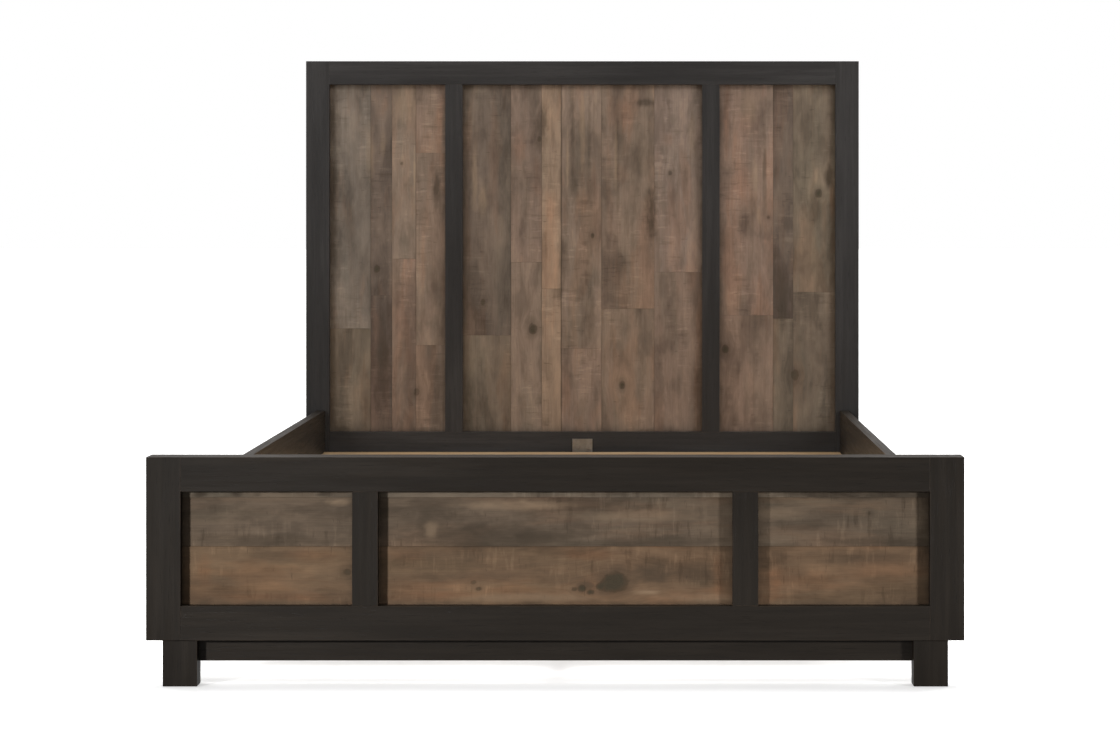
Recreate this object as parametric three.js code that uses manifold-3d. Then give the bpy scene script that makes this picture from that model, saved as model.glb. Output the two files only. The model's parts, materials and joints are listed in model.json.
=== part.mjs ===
// Queen-size wooden panel bed frame: a planked headboard and footboard, two hook-on side rails,
// a slatted deck on cleats, and a centre beam on three legs with screw-adjusted feet.
// Millimetres, +Z up. +Y runs from the foot to the head, and left and right are as seen from the
// foot. The origin is on the floor, under the middle of the bed.

import * as THREE from 'three';
import { mergeVertices } from 'three/addons/utils/BufferGeometryUtils.js';
import Module from 'manifold-3d';

const wasm = await Module();
wasm.setup();

// Overall sizes
const WIDTH = 1660;             // headboard and footboard, edge to edge
const BAY_LENGTH = 2050;        // clear length between the two boards
const BOARD_DEPTH = 50;         // thickness of posts, stiles and rails
const HEAD_HEIGHT = 1424;
const FOOT_HEIGHT = 468;

// Head and foot boards
const FACE = 70;                // face width of posts, stiles and rails
const MULLION = 52;
const SIDE_OPENING = 348;       // width of the outer panels' openings
const HEAD_RAIL_BOTTOM = 240;   // underside of the headboard's lower rail
const FOOT_RAIL_BOTTOM = 96;    // underside of the footboard's lower rail
const POST_LIFT = 1;            // gap between a post's end and the floor, below its sunk glide

// Frame-and-panel joinery
const RECESS = 18;              // from a board's front face to its grooves
const GROOVE = 12.6;            // width of a groove
const GROOVE_DEPTH = 8;
const FIT = 0.3;                // clearance of a piece in its groove, mortise or pocket
const TONGUE = GROOVE - 2 * FIT;
const PANEL_GAP = 0.5;          // from a panel's edge to the bottom of its groove
const PANEL_EDGE = GROOVE_DEPTH - PANEL_GAP;
const TENON_SHOULDER = 12;
const MULLION_DEPTH = 42;
const BACK_SHEET = 4;
const SEAM = 0.6;               // gap between neighbouring planks
const FACING = 3;               // thickness of the planks that face a panel
const PLANK_STEPS = [0, 0.9, 0.3, 1.2, 0.6];    // how far each plank lies below the proudest
const HEAD_PLANKS = {
  left: [122, 64, 72, 90],
  center: [144, 93, 59, 121, 159, 144],
  right: [162, 60, 126],
};
const FOOT_PLANKS = [118, 100, 14];

// Footboard base
const LEG_INSET = 32;           // from the footboard's edge to a leg
const LEG_WIDTH = 70;
const LEG_SETBACK = 8;
const LEG_DEPTH = 36;
const APRON_SETBACK = 26;
const APRON_DEPTH = 18;
const APRON_BOTTOM = 50;
const GLIDE_RADIUS = 14;
const GLIDE_HEIGHT = 5;
const FLOOR_EASE = 1;           // easing of a plastic pad's rim at the floor

// Side rails, cleats and slats
const RAIL_THICKNESS = 25;
const RAIL_BOTTOM = 165;
const RAIL_TOP = 375;
const CLEAT = { width: 25, height: 30, endGap: 5 };
const DECK = 235;               // underside of the slats
const SLAT = { count: 12, width: 90, thickness: 18, pitch: 174, endGap: 2 };

// Hook-and-slot fittings that join the side rails to the boards
const STEEL = 3;
const HOOK_PLATE = { width: 20, bottom: 195, top: 345 };
const SLOT_PLATE = { width: 24, bottom: 185, top: 355 };
const HOOK_CENTERS = [230, 310];
const HOOK = { reach: 13, neck: 9, drop: 10, noseGap: 0.5 };
const SLOT = { width: 4.2, below: 9.5, above: 20 };
const POCKET = { halfWidth: 6, depth: 14, halfHeight: 24 };
const SCREW_RADIUS = 2.6;
const SCREW_MARGIN = 10;
const OVERCUT = 1;              // how far outside the material a cutter starts
const OVERLAP = 1;              // how far two joined shapes run into each other

// Centre beam, its brackets and its legs
const BEAM = { halfWidth: 22, height: 70, endGap: 4 };
const BRACKET = { halfWidth: 30, reach: 30, cheek: 50, tongue: 55, sideGap: 0.5 };
const CENTER_LEG = { halfWidth: 22, bottom: 24, bore: 4.6, boreDepth: 62, spacing: 680 };
const LEVELER = { pad: 20, padHeight: 7, bevel: 2, nut: 7.5, nutHeight: 4, stud: 4, studTop: 70 };

const ROUND = 24;               // sides of a round piece
const HOLE_ROUND = 12;          // sides of a screw hole
const HEXAGON = 6;
const HALF_WIDTH = WIDTH / 2;
const HALF_BAY = BAY_LENGTH / 2;
const STILE_INNER = HALF_WIDTH - FACE;
const MULLION_OUTER = STILE_INNER - SIDE_OPENING;
const MULLION_INNER = MULLION_OUTER - MULLION;
const RAIL_OUTER = HALF_WIDTH - LEG_INSET;
const RAIL_INNER = RAIL_OUTER - RAIL_THICKNESS;
const RAIL_MIDDLE = (RAIL_OUTER + RAIL_INNER) / 2;
const SIDES = { left: -1, right: 1 };

const MATERIALS = {
  frameWood: { color: 0x332e2a, roughness: 0.5, metalness: 0 },
  headPlanks: { color: 0x75665a, roughness: 0.7, metalness: 0 },
  footPlanks: { color: 0x77604e, roughness: 0.7, metalness: 0 },
  backSheet: { color: 0x2c2825, roughness: 0.85, metalness: 0 },
  pine: { color: 0xc9a878, roughness: 0.7, metalness: 0 },
  steel: { color: 0x8c8f92, roughness: 0.4, metalness: 1 },
  blackPlastic: { color: 0x1b1b1c, roughness: 0.6, metalness: 0 },
};

// A block between two values on each axis, given in either order.
function block(x, y, z) {
  const size = [x, y, z].map(([a, b]) => Math.abs(b - a));
  const middle = [x, y, z].map(([a, b]) => (a + b) / 2);
  return new THREE.BoxGeometry(...size).translate(...middle);
}

// An upright bar, round or with a few flat sides.
function uprightRod(radius, [bottom, top], [x, y] = [0, 0], sides = ROUND) {
  const geometry = new THREE.CylinderGeometry(radius, radius, top - bottom, sides);
  return geometry.rotateX(Math.PI / 2).translate(x, y, (bottom + top) / 2);
}

// A round bar along Y, as a screw hole's cutter.
function lengthwiseRod(radius, x, [y0, y1], z) {
  const geometry = new THREE.CylinderGeometry(radius, radius, Math.abs(y1 - y0), HOLE_ROUND);
  return geometry.translate(x, (y0 + y1) / 2, z);
}

function solidOf(geometry) {
  const bare = geometry.clone();
  bare.deleteAttribute('normal');
  bare.deleteAttribute('uv');
  const merged = mergeVertices(bare);
  return new wasm.Manifold(new wasm.Mesh({
    numProp: 3,
    vertProperties: merged.attributes.position.array,
    triVerts: Uint32Array.from(merged.index.array),
  }));
}

// The parts joined into one body, less the cuts.
function carve(parts, cuts = []) {
  const [first, ...rest] = parts.map(solidOf);
  const joined = rest.reduce((body, part) => body.add(part), first);
  const cut = cuts.map(solidOf).reduce((body, tool) => body.subtract(tool), joined);
  const { vertProperties, triVerts } = cut.getMesh();
  const geometry = new THREE.BufferGeometry();
  geometry.setAttribute('position', new THREE.BufferAttribute(vertProperties, 3));
  geometry.setIndex(new THREE.BufferAttribute(triVerts, 1));
  return geometry.toNonIndexed();
}

// A named mesh whose own origin is at the middle of its geometry, to a whole millimetre.
function piece(name, material, geometry) {
  geometry.computeBoundingBox();
  const middle = geometry.boundingBox.getCenter(new THREE.Vector3()).round();
  geometry.translate(-middle.x, -middle.y, -middle.z);
  geometry.computeVertexNormals();
  const mesh = new THREE.Mesh(geometry, new THREE.MeshStandardMaterial(MATERIALS[material]));
  mesh.name = name;
  mesh.position.copy(middle);
  return mesh;
}

// The upright groove in a stile or post, in the board's own frame: y = 0 is its front face.
function stileGroove(side, bottom, top) {
  return block(
    [side * (STILE_INNER - OVERCUT), side * (STILE_INNER + GROOVE_DEPTH)],
    [RECESS, RECESS + GROOVE],
    [bottom + TENON_SHOULDER - FIT, top - TENON_SHOULDER + FIT],
  );
}

// The shallow mortise and the pockets that take a slot plate, in the face at y = face.
// inward is the way into the wood, 1 or -1 along Y.
function slotPlateCuts(side, face, inward) {
  const x = side * RAIL_MIDDLE;
  const reach = SLOT_PLATE.width / 2 + FIT;
  const mortise = block(
    [x - reach, x + reach],
    [face - inward * OVERCUT, face + inward * (STEEL + FIT)],
    [SLOT_PLATE.bottom - FIT, SLOT_PLATE.top + FIT],
  );
  const pockets = HOOK_CENTERS.map((z) => block(
    [x - POCKET.halfWidth, x + POCKET.halfWidth],
    [face - inward * OVERCUT, face + inward * (STEEL + POCKET.depth)],
    [z - POCKET.halfHeight, z + POCKET.halfHeight],
  ));
  return [mortise, ...pockets];
}

function glideRecess(x, y) {
  return uprightRod(GLIDE_RADIUS + FIT, [POST_LIFT - OVERCUT, GLIDE_HEIGHT + FIT], [x, y]);
}

// A rail between the stiles, with its groove facing the opening and a stub tenon at each end.
function boardRail(name, [bottom, top], grooveUp) {
  const groove = grooveUp
    ? [top - GROOVE_DEPTH, top + OVERCUT]
    : [bottom - OVERCUT, bottom + GROOVE_DEPTH];
  const tenonReach = STILE_INNER + PANEL_EDGE;
  const body = block([-STILE_INNER, STILE_INNER], [0, BOARD_DEPTH], [bottom, top]);
  const tenons = block(
    [-tenonReach, tenonReach],
    [RECESS + FIT, RECESS + FIT + TONGUE],
    [bottom + TENON_SHOULDER, top - TENON_SHOULDER],
  );
  const cutReach = STILE_INNER + OVERCUT;
  const cut = block([-cutReach, cutReach], [RECESS, RECESS + GROOVE], groove);
  return piece(name, 'frameWood', carve([body, tenons], [cut]));
}

// A mullion, grooved along both edges, with a stub tenon in each rail's groove.
function mullion(name, side, [bottom, top]) {
  const inner = side * MULLION_INNER;
  const outer = side * MULLION_OUTER;
  const webInner = inner + side * (GROOVE_DEPTH + FIT);
  const webOuter = outer - side * (GROOVE_DEPTH + FIT);
  const groove = [RECESS, RECESS + GROOVE];
  const ends = [bottom - OVERCUT, top + OVERCUT];
  const body = block([inner, outer], [0, MULLION_DEPTH], [bottom, top]);
  const tenons = block(
    [webInner, webOuter],
    [RECESS + FIT, RECESS + FIT + TONGUE],
    [bottom - PANEL_EDGE, top + PANEL_EDGE],
  );
  const cuts = [
    block([inner - side * OVERCUT, inner + side * GROOVE_DEPTH], groove, ends),
    block([outer + side * OVERCUT, outer - side * GROOVE_DEPTH], groove, ends),
  ];
  return piece(name, 'frameWood', carve([body, tenons], cuts));
}

// A backing board faced with planks of the given widths, which lie upright or level. The widths
// fill the visible opening, and the outermost planks run on into the grooves.
function plankPanel(name, material, [left, right], [bottom, top], widths, upright) {
  const front = RECESS + FIT;
  const back = front + TONGUE;
  const across = upright ? [left, right] : [bottom, top];
  const [near, far] = upright ? [bottom, top] : [left, right];
  const along = [near - PANEL_EDGE, far + PANEL_EDGE];
  const scale = (across[1] - across[0]) / widths.reduce((sum, width) => sum + width, 0);
  const lay = (u, y) => (upright ? block(u, y, along) : block(along, y, u));
  const board = lay([across[0] - PANEL_EDGE, across[1] + PANEL_EDGE], [front + FACING, back]);
  const planks = [];
  let edge = across[0];
  widths.forEach((width, i) => {
    const start = i === 0 ? edge - PANEL_EDGE : edge + SEAM / 2;
    edge += width * scale;
    const end = i === widths.length - 1 ? edge + PANEL_EDGE : edge - SEAM / 2;
    const face = front + PLANK_STEPS[i % PLANK_STEPS.length];
    planks.push(lay([start, end], [face, front + FACING + FIT]));
  });
  return piece(name, material, carve([board, ...planks]));
}

// The parts that the headboard and the footboard share: two rails, two mullions, three planked
// panels and the back sheet.
function boardFilling(board, railBottom, top, material, planks, upright) {
  const opening = [railBottom + FACE, top - FACE];
  const openings = {
    left: [-STILE_INNER, -MULLION_OUTER],
    center: [-MULLION_INNER, MULLION_INNER],
    right: [MULLION_OUTER, STILE_INNER],
  };
  const parts = [
    boardRail(`${board}_top_rail`, [opening[1], top], false),
    boardRail(`${board}_bottom_rail`, [railBottom, opening[0]], true),
  ];
  for (const [side, sign] of Object.entries(SIDES)) {
    parts.push(mullion(`${board}_mullion_${side}`, sign, opening));
  }
  for (const [place, span] of Object.entries(openings)) {
    const widths = planks[place] ?? planks;
    parts.push(plankPanel(`${board}_panel_${place}`, material, span, opening, widths, upright));
  }
  const sheet = block(
    [-STILE_INNER + FIT, STILE_INNER - FIT],
    [MULLION_DEPTH, MULLION_DEPTH + BACK_SHEET],
    [opening[0] + FIT, opening[1] - FIT],
  );
  parts.push(piece(`${board}_back_panel`, 'backSheet', sheet));
  return parts;
}

function headboard() {
  const group = new THREE.Group();
  group.position.y = HALF_BAY;
  group.add(...boardFilling('headboard', HEAD_RAIL_BOTTOM, HEAD_HEIGHT, 'headPlanks', HEAD_PLANKS, true));
  for (const [side, sign] of Object.entries(SIDES)) {
    const post = block([sign * STILE_INNER, sign * HALF_WIDTH], [0, BOARD_DEPTH], [POST_LIFT, HEAD_HEIGHT]);
    const middle = [sign * (HALF_WIDTH - FACE / 2), BOARD_DEPTH / 2];
    const cuts = [
      stileGroove(sign, HEAD_RAIL_BOTTOM, HEAD_HEIGHT),
      glideRecess(...middle),
      ...slotPlateCuts(sign, 0, 1),
    ];
    group.add(piece(`headboard_post_${side}`, 'frameWood', carve([post], cuts)));
    group.add(glide(`head_glide_${side}`, ...middle));
  }
  return group;
}

function footboard() {
  const group = new THREE.Group();
  group.position.y = -HALF_BAY - BOARD_DEPTH;
  group.add(...boardFilling('footboard', FOOT_RAIL_BOTTOM, FOOT_HEIGHT, 'footPlanks', FOOT_PLANKS, false));
  for (const [side, sign] of Object.entries(SIDES)) {
    const stile = block(
      [sign * STILE_INNER, sign * HALF_WIDTH],
      [0, BOARD_DEPTH],
      [FOOT_RAIL_BOTTOM, FOOT_HEIGHT],
    );
    const cuts = [
      stileGroove(sign, FOOT_RAIL_BOTTOM, FOOT_HEIGHT),
      ...slotPlateCuts(sign, BOARD_DEPTH, -1),
    ];
    group.add(piece(`footboard_stile_${side}`, 'frameWood', carve([stile], cuts)));

    const leg = block(
      [sign * RAIL_OUTER, sign * (RAIL_OUTER - LEG_WIDTH)],
      [LEG_SETBACK, LEG_SETBACK + LEG_DEPTH],
      [POST_LIFT, FOOT_RAIL_BOTTOM],
    );
    const middle = [sign * (RAIL_OUTER - LEG_WIDTH / 2), LEG_SETBACK + LEG_DEPTH / 2];
    group.add(piece(`footboard_leg_${side}`, 'frameWood', carve([leg], [glideRecess(...middle)])));
    group.add(glide(`foot_glide_${side}`, ...middle));
  }
  const apronReach = RAIL_OUTER - LEG_WIDTH;
  const apron = block(
    [-apronReach, apronReach],
    [APRON_SETBACK, APRON_SETBACK + APRON_DEPTH],
    [APRON_BOTTOM, FOOT_RAIL_BOTTOM],
  );
  group.add(piece('footboard_apron', 'frameWood', apron));
  return group;
}

// A round plastic pad, turned about the upright axis, whose rim is eased at the floor.
function glide(name, x, y) {
  const outline = [
    [0, 0],
    [GLIDE_RADIUS - FLOOR_EASE, 0],
    [GLIDE_RADIUS, FLOOR_EASE],
    [GLIDE_RADIUS, GLIDE_HEIGHT],
    [0, GLIDE_HEIGHT],
  ].map(([r, z]) => new THREE.Vector2(r, z));
  const pad = new THREE.LatheGeometry(outline, ROUND).rotateX(Math.PI / 2).translate(x, y, 0);
  return piece(name, 'blackPlastic', pad);
}

// A hook plate let into a rail's end. end is the rail's end along Y, 1 at the head.
function hookPlate(name, side, end) {
  const x = side * RAIL_MIDDLE;
  const face = end * HALF_BAY;
  const half = HOOK_PLATE.width / 2;
  const plate = block([x - half, x + half], [face - end * STEEL, face], [HOOK_PLATE.bottom, HOOK_PLATE.top]);
  const sheet = [x - STEEL / 2, x + STEEL / 2];
  const tip = face + end * HOOK.reach;
  const hooks = HOOK_CENTERS.flatMap((z) => [
    block(sheet, [face - end * OVERLAP, tip], [z - HOOK.neck, z + HOOK.neck]),
    block(sheet, [face + end * (STEEL + HOOK.noseGap), tip], [z - HOOK.neck - HOOK.drop, z]),
  ]);
  const holes = screwHoles(x, [face - end * (STEEL + OVERCUT), face + end * OVERCUT], HOOK_PLATE);
  return piece(name, 'steel', carve([plate, ...hooks], holes));
}

// A slotted plate let into the post or stile that a rail's hooks drop into.
function slotPlate(name, side, end) {
  const x = side * RAIL_MIDDLE;
  const face = end * HALF_BAY;
  const half = SLOT_PLATE.width / 2;
  const through = [face - end * OVERCUT, face + end * (STEEL + OVERCUT)];
  const plate = block([x - half, x + half], [face, face + end * STEEL], [SLOT_PLATE.bottom, SLOT_PLATE.top]);
  const slots = HOOK_CENTERS.map((z) => block(
    [x - SLOT.width / 2, x + SLOT.width / 2],
    through,
    [z - SLOT.below, z + SLOT.above],
  ));
  const holes = screwHoles(x, through, SLOT_PLATE);
  return piece(name, 'steel', carve([plate], [...slots, ...holes]));
}

// Three screw holes up the middle of a fitting: near its ends and between its hooks or slots.
function screwHoles(x, through, { bottom, top }) {
  const heights = [bottom + SCREW_MARGIN, (bottom + top) / 2, top - SCREW_MARGIN];
  return heights.map((z) => lengthwiseRod(SCREW_RADIUS, x, through, z));
}

function sideRails() {
  const group = new THREE.Group();
  for (const [side, sign] of Object.entries(SIDES)) {
    const x = sign * RAIL_MIDDLE;
    const half = HOOK_PLATE.width / 2 + FIT;
    const rail = block(
      [sign * RAIL_INNER, sign * RAIL_OUTER],
      [-HALF_BAY, HALF_BAY],
      [RAIL_BOTTOM, RAIL_TOP],
    );
    const mortises = [-1, 1].map((end) => block(
      [x - half, x + half],
      [end * (HALF_BAY + OVERCUT), end * (HALF_BAY - STEEL - FIT)],
      [HOOK_PLATE.bottom - FIT, HOOK_PLATE.top + FIT],
    ));
    group.add(piece(`side_rail_${side}`, 'frameWood', carve([rail], mortises)));

    const cleatReach = HALF_BAY - CLEAT.endGap;
    const cleat = block(
      [sign * RAIL_INNER, sign * (RAIL_INNER - CLEAT.width)],
      [-cleatReach, cleatReach],
      [DECK - CLEAT.height, DECK],
    );
    group.add(piece(`slat_cleat_${side}`, 'pine', cleat));
    for (const [place, end] of Object.entries({ foot: -1, head: 1 })) {
      group.add(hookPlate(`rail_hook_plate_${place}_${side}`, sign, end));
      group.add(slotPlate(`post_slot_plate_${place}_${side}`, sign, end));
    }
  }
  return group;
}

function slats() {
  const group = new THREE.Group();
  const reach = RAIL_INNER - SLAT.endGap;
  for (let i = 0; i < SLAT.count; i += 1) {
    const y = (i - (SLAT.count - 1) / 2) * SLAT.pitch;
    const board = block(
      [-reach, reach],
      [y - SLAT.width / 2, y + SLAT.width / 2],
      [DECK, DECK + SLAT.thickness],
    );
    group.add(piece(`slat_${String(i + 1).padStart(2, '0')}`, 'pine', board));
  }
  return group;
}

// A steel cradle for the beam's end. Its plate runs on down to the footboard's lower rail, or up
// to the headboard's.
function beamBracket(name, end) {
  const beamBottom = DECK - BEAM.height;
  const face = end * HALF_BAY;
  const inside = face - end * STEEL;
  const tip = inside - end * BRACKET.reach;
  const gap = BEAM.halfWidth + BRACKET.sideGap;
  const cheekTop = beamBottom + BRACKET.cheek;
  const span = end < 0
    ? [beamBottom - BRACKET.tongue, cheekTop]
    : [beamBottom - STEEL, DECK + BRACKET.tongue];
  const parts = [
    block([-BRACKET.halfWidth, BRACKET.halfWidth], [face, inside], span),
    block([-gap - STEEL, gap + STEEL], [face, tip], [beamBottom - STEEL, beamBottom]),
    block([-gap - STEEL, -gap], [face, tip], [beamBottom - STEEL, cheekTop]),
    block([gap, gap + STEEL], [face, tip], [beamBottom - STEEL, cheekTop]),
  ];
  return piece(name, 'steel', carve(parts));
}

// A screw foot: a turned pad, a hexagon to grip and a stud that runs up into its leg.
function levelingFoot(name, y) {
  const outline = [
    [0, 0],
    [LEVELER.pad - FLOOR_EASE, 0],
    [LEVELER.pad, FLOOR_EASE],
    [LEVELER.pad, LEVELER.padHeight - LEVELER.bevel],
    [LEVELER.pad - 2 * LEVELER.bevel, LEVELER.padHeight],
    [0, LEVELER.padHeight],
  ].map(([r, z]) => new THREE.Vector2(r, z));
  const pad = new THREE.LatheGeometry(outline, ROUND).rotateX(Math.PI / 2).translate(0, y, 0);
  const inPad = LEVELER.padHeight - OVERLAP;
  const nutTop = LEVELER.padHeight + LEVELER.nutHeight;
  const nut = uprightRod(LEVELER.nut, [inPad, nutTop], [0, y], HEXAGON);
  const stud = uprightRod(LEVELER.stud, [inPad, LEVELER.studTop], [0, y]);
  return piece(name, 'blackPlastic', carve([pad, nut, stud]));
}

function centerSupport() {
  const group = new THREE.Group();
  const beamBottom = DECK - BEAM.height;
  const reach = HALF_BAY - BEAM.endGap;
  const beam = block([-BEAM.halfWidth, BEAM.halfWidth], [-reach, reach], [beamBottom, DECK]);
  group.add(piece('center_beam', 'pine', beam));
  group.add(beamBracket('beam_bracket_foot', -1));
  group.add(beamBracket('beam_bracket_head', 1));
  for (const [place, step] of Object.entries({ foot: -1, middle: 0, head: 1 })) {
    const y = step * CENTER_LEG.spacing;
    const { halfWidth: half, bottom } = CENTER_LEG;
    const leg = block([-half, half], [y - half, y + half], [bottom, beamBottom]);
    const bore = uprightRod(CENTER_LEG.bore, [bottom - OVERCUT, bottom + CENTER_LEG.boreDepth], [0, y]);
    group.add(piece(`center_leg_${place}`, 'pine', carve([leg], [bore])));
    group.add(levelingFoot(`leveling_foot_${place}`, y));
  }
  return group;
}

const bedFrame = new THREE.Group();
bedFrame.add(headboard(), footboard(), sideRails(), slats(), centerSupport());

export default bedFrame;
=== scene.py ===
"""Looks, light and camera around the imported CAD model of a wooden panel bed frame. Lengths are in metres."""

import json
import math

import bmesh
import bpy
import numpy as np
from mathutils import Matrix, Vector

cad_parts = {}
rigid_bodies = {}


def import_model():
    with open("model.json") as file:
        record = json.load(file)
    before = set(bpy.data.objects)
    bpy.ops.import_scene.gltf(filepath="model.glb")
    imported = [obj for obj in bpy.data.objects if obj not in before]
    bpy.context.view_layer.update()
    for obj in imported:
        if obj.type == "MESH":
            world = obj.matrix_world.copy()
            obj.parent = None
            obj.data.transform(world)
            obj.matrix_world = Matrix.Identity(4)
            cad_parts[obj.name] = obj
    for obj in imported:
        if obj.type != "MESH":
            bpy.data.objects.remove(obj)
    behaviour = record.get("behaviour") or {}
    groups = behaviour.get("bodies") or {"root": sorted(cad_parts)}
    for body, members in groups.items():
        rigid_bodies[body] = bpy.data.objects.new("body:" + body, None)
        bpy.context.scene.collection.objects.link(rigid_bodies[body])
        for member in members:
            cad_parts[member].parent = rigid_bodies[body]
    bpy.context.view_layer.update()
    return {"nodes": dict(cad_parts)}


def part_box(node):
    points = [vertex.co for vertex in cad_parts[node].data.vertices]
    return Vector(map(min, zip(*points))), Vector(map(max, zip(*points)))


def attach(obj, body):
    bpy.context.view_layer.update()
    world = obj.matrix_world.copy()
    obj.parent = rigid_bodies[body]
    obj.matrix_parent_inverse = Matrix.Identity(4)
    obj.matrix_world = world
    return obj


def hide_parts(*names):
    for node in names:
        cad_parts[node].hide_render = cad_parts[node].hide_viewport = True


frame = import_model()

BED = "bed_frame"
MM = 0.001


def add_object(name, data):
    made = bpy.data.objects.new(name, data)
    bpy.context.scene.collection.objects.link(made)
    return made


def fill_mesh(mesh, shape):
    """The mesh, with a closed shape in it whose faces are turned outwards."""
    bmesh.ops.recalc_face_normals(shape, faces=shape.faces)
    shape.to_mesh(mesh)
    shape.free()
    return mesh


def mesh_of(shape, name):
    return fill_mesh(bpy.data.meshes.new(name), shape)


# ---- colours

# Share of the light that a white upright face sends back, so that a tone comes out as it is written.
FACE_LIGHT = 0.74


def seen(*channels):
    """The linear surface colour that looks like these 0-255 screen values in the scene's light."""
    scaled = [c / 255 for c in channels]
    linear = [c / 12.92 if c <= 0.04045 else ((c + 0.055) / 1.055) ** 2.4 for c in scaled]
    return tuple(c / FACE_LIGHT for c in linear)


def scale(colour, factor):
    return tuple(c * factor for c in colour)


# ---- shader building


class Nodes:
    """An empty node tree, and short calls for the nodes that go into it."""

    def __init__(self, owner):
        owner.use_nodes = True
        self.tree = owner.node_tree
        self.tree.nodes.clear()

    def put(self, socket, value):
        """Links an output to a socket, or sets the socket to a constant."""
        if isinstance(value, bpy.types.NodeSocket):
            self.tree.links.new(value, socket)
        elif isinstance(value, (int, float)) or len(value) == len(socket.default_value):
            socket.default_value = value
        else:
            socket.default_value = (*value, 1)

    def node(self, kind, **properties):
        made = self.tree.nodes.new("ShaderNode" + kind)
        for name, value in properties.items():
            setattr(made, name, value)
        return made

    def math(self, operation, *values, clamp=False):
        made = self.node("Math", operation=operation, use_clamp=clamp)
        for socket, value in zip(made.inputs, values):
            self.put(socket, value)
        return made.outputs[0]

    def plus(self, a, b):
        return self.math("ADD", a, b)

    def minus(self, a, b):
        return self.math("SUBTRACT", a, b)

    def times(self, a, b, clamp=False):
        return self.math("MULTIPLY", a, b, clamp=clamp)

    def span(self, value, low, high, to_low=0.0, to_high=1.0):
        """The value's run from low to high, drawn out to another run and held at its ends."""
        made = self.node("MapRange", interpolation_type="SMOOTHSTEP")
        for name, number in (("Value", value), ("From Min", low), ("From Max", high),
                             ("To Min", to_low), ("To Max", to_high)):
            self.put(made.inputs[name], number)
        return made.outputs[0]


class Shader(Nodes):
    """A material's node tree, with a Principled shader at its end."""

    def __init__(self, name):
        self.material = bpy.data.materials.new(name)
        super().__init__(self.material)
        self.surface = self.node("BsdfPrincipled")
        self.put(self.node("OutputMaterial").inputs["Surface"], self.surface.outputs["BSDF"])

    def finished(self, **values):
        """The material, with these inputs of its Principled shader. An underscore stands for a space."""
        for name, value in values.items():
            self.put(self.surface.inputs[name.replace("_", " ")], value)
        return self.material

    def mix(self, factor, a, b, blend="MIX"):
        made = self.node("Mix", data_type="RGBA", blend_type=blend)
        for name, value in (("Factor_Float", factor), ("A_Color", a), ("B_Color", b)):
            socket = next(s for s in made.inputs if s.identifier == name)
            self.put(socket, value)
        return next(s for s in made.outputs if s.identifier == "Result_Color")

    def stretch(self, vector, x, y, z):
        made = self.node("VectorMath", operation="MULTIPLY")
        self.put(made.inputs[0], vector)
        made.inputs[1].default_value = (x, y, z)
        return made.outputs[0]

    def noise(self, vector, size, detail, roughness=0.55, distortion=0.0):
        """Noise from 0 to 1, with size features per metre along the grain, across it and into it."""
        made = self.node("TexNoise", noise_dimensions="3D")
        self.put(made.inputs["Vector"], self.stretch(vector, *size))
        values = {"Scale": 1.0, "Detail": detail, "Roughness": roughness, "Distortion": distortion}
        for name, value in values.items():
            made.inputs[name].default_value = value
        return made.outputs["Fac"]

    def attribute(self, name, kind="GEOMETRY"):
        return self.node("Attribute", attribute_type=kind, attribute_name=name).outputs

    def bump(self, height, depth, strength):
        """A normal from a height of 0 to 1 that stands for this depth in metres."""
        made = self.node("Bump")
        made.inputs["Strength"].default_value = strength
        made.inputs["Distance"].default_value = depth
        self.put(made.inputs["Height"], height)
        return made.outputs[0]

    def grain_of_object(self, axis):
        """Object coordinates turned so that x runs along the grain, and moved by each board's own seed."""
        place = self.node("TexCoord").outputs["Object"]
        parts = self.node("SeparateXYZ")
        self.put(parts.inputs[0], place)
        order = {"x": "XYZ", "y": "YXZ", "z": "ZXY"}[axis]
        seed = self.attribute("seed", "OBJECT")["Fac"]
        joined = self.node("CombineXYZ")
        for target, letter in enumerate(order):
            self.put(joined.inputs[target], self.plus(parts.outputs[letter], seed))
        return joined.outputs[0]

    def worn_edge(self, radius):
        """1 on an outer or inner edge, and 0 on the flat."""
        rounded = self.node("Bevel", samples=6)
        rounded.inputs["Radius"].default_value = radius
        flat = self.node("NewGeometry").outputs["Normal"]
        dot = self.node("VectorMath", operation="DOT_PRODUCT")
        self.put(dot.inputs[0], rounded.outputs[0])
        self.put(dot.inputs[1], flat)
        return self.span(dot.outputs["Value"], 0.985, 0.86)


# ---- materials


FRAME_WORN = seen(104, 84, 64)


def frame_wood(label, axis, body):
    """Dark stained wood under thin satin lacquer: faint open grain, darker pores and lightly rubbed edges."""
    s = Shader(f"frame_wood_{label}_{axis}")
    grain = s.grain_of_object(axis)
    cloud = s.noise(grain, (1.6, 9, 9), 2, 0.5, 0.4)
    streaks = s.noise(grain, (2.6, 62, 62), 5, 0.62, 0.25)
    fibre = s.noise(grain, (16, 520, 520), 3, 0.6)
    pores = s.span(s.noise(grain, (22, 760, 760), 2, 0.5), 0.6, 0.7)
    colour = s.mix(s.span(streaks, 0.36, 0.7), body, scale(body, 1.38))
    colour = s.mix(s.span(cloud, 0.38, 0.64, 0.0, 0.5), colour, scale(body, 0.66))
    colour = s.mix(s.times(pores, 0.6), colour, scale(body, 0.35))
    handled = s.span(s.noise(grain, (9, 40, 40), 4, 0.6), 0.42, 0.62)
    rub = s.times(s.worn_edge(2.2 * MM), handled)
    colour = s.mix(s.times(rub, 0.35), colour, FRAME_WORN)
    gloss = s.span(s.noise(grain, (5, 90, 90), 4, 0.6), 0.3, 0.75, 0.38, 0.56)
    relief = s.plus(s.times(fibre, 0.5), s.times(streaks, 0.7))
    relief = s.minus(relief, s.times(pores, 0.8))
    return s.finished(Base_Color=colour, Roughness=gloss, Specular_IOR_Level=0.22,
                      Normal=s.bump(relief, 0.3 * MM, 0.55))


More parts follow.
